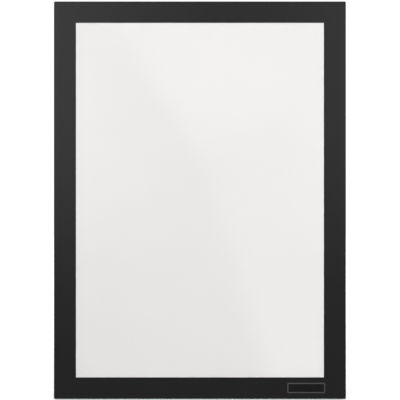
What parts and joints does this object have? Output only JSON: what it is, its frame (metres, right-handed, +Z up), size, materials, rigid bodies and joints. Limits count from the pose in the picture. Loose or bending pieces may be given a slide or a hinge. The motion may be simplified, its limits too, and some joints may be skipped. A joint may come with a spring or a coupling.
{
  "type": "magnetic display frame",
  "caption": "Flat upright frame whose windowed front flap swings open on a tape hinge and shuts magnetically over a sheet; magnetic strips on its back hold it to steel.",
  "frame": {"origin": "middle of the back, in the plane where the rear magnetic strips meet the wall", "axes": "+Z up along the long side, +X to the viewer's right, +Y from the viewer into the wall; the window faces -Y"},
  "size_m": [0.241, 0.0043, 0.328],
  "materials": {
    "panel_black": "matte",
    "keeper_steel": "satin",
    "sheet_white": "matte",
    "magnet_strip": "matte",
    "hinge_tape": "matte",
    "border_black": "satin",
    "film_clear": "gloss",
    "label_dark": "satin"
  },
  "bodies": {
    "back_unit": {"back_panel": "panel_black", "keeper_left": "keeper_steel", "keeper_right": "keeper_steel", "keeper_top": "keeper_steel", "keeper_bottom": "keeper_steel", "insert_sheet": "sheet_white", "rear_magnet_left": "magnet_strip", "rear_magnet_right": "magnet_strip", "rear_magnet_top": "magnet_strip", "rear_magnet_middle": "magnet_strip", "rear_magnet_bottom": "magnet_strip", "hinge_tape_back_leaf": "hinge_tape"},
    "front_flap": {"front_border": "border_black", "window_film": "film_clear", "front_magnet_left": "magnet_strip", "front_magnet_right": "magnet_strip", "front_magnet_top": "magnet_strip", "front_magnet_bottom": "magnet_strip", "label_plate": "label_dark", "hinge_tape_front_leaf": "hinge_tape"}
  },
  "joints": [
    {"name": "flap_hinge", "type": "hinge", "parent": "back_unit", "child": "front_flap", "pos_m": [-0.1205, -0.00202, 0], "axis": [0, 0, -1], "range_deg": [0, 175]}
  ]
}
